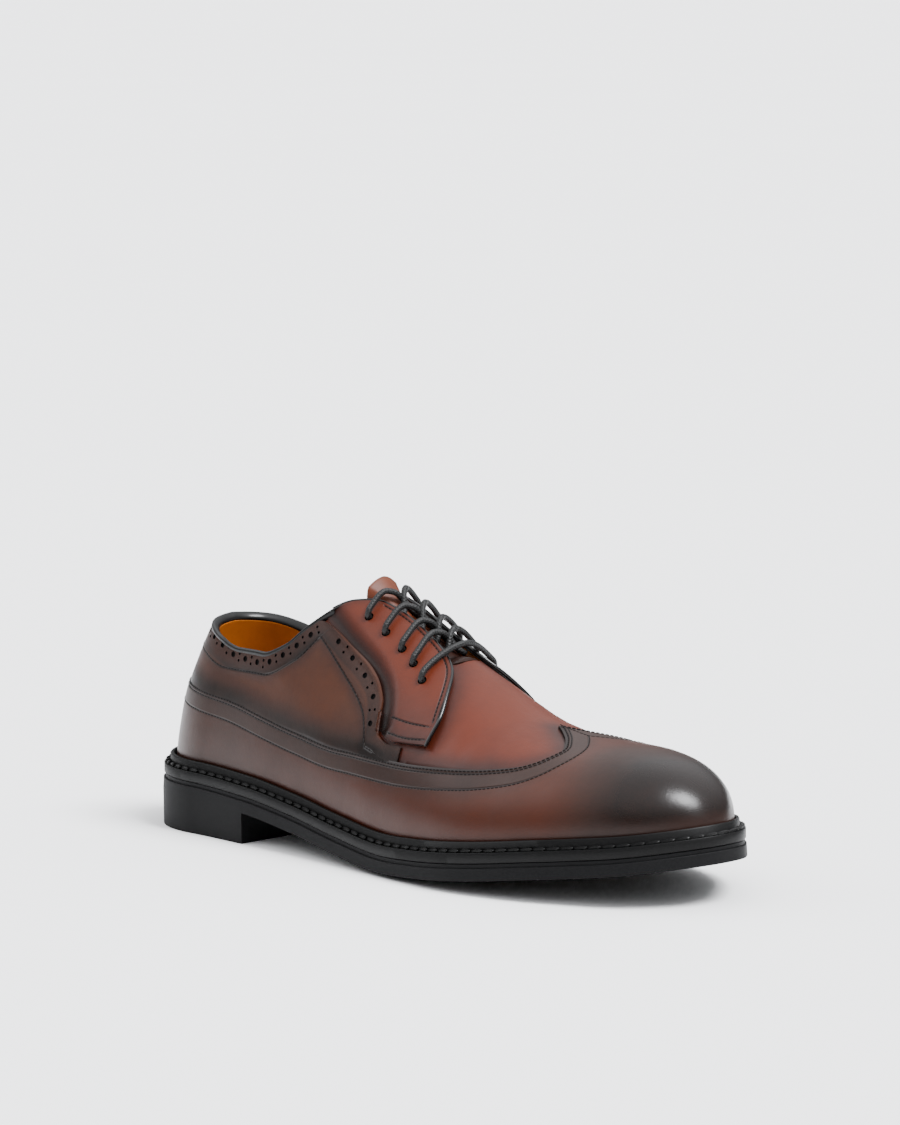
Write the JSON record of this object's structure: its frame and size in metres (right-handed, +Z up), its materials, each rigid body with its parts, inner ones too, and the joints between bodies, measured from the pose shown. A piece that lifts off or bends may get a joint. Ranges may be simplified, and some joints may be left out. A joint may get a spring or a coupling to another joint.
{
  "type": "brogue shoe",
  "caption": "Laced derby brogue for the right foot with a long wing, storm-welted rubber sole with low heel and a hollow leather upper open at the collar.",
  "frame": {"origin": "on the floor, in the middle of the sole's outline box", "axes": "+X from heel to toe, +Y to the inner (medial) side, +Z up from the floor"},
  "size_m": [0.306, 0.1053, 0.1083],
  "materials": {
    "sole_rubber": "moulded black rubber, satin sides",
    "welt_rubber": "black storm welt with black thread",
    "vamp_leather": "orange-brown burnished calf leather, satin",
    "wing_leather": "brown burnished calf leather, dark at the toe",
    "quarter_leather": "grey-brown burnished calf leather, satin",
    "lining_leather": "amber lining leather, matt",
    "binding_leather": "black dyed rolled edge",
    "lace_cotton": "round waxed black cotton lace"
  },
  "bodies": {
    "root": {"outsole": "sole_rubber", "welt": "welt_rubber", "insole": "lining_leather", "upper": "vamp_leather", "tongue": "vamp_leather", "wing_cap": "wing_leather", "quarter_lateral": "quarter_leather", "quarter_medial": "quarter_leather", "facing_lateral": "vamp_leather", "facing_medial": "vamp_leather", "collar_binding": "binding_leather", "lace_cross_1": "lace_cotton", "lace_cross_2": "lace_cotton", "lace_cross_3": "lace_cotton", "lace_cross_4": "lace_cotton", "lace_bar": "lace_cotton"}
  },
  "joints": []
}
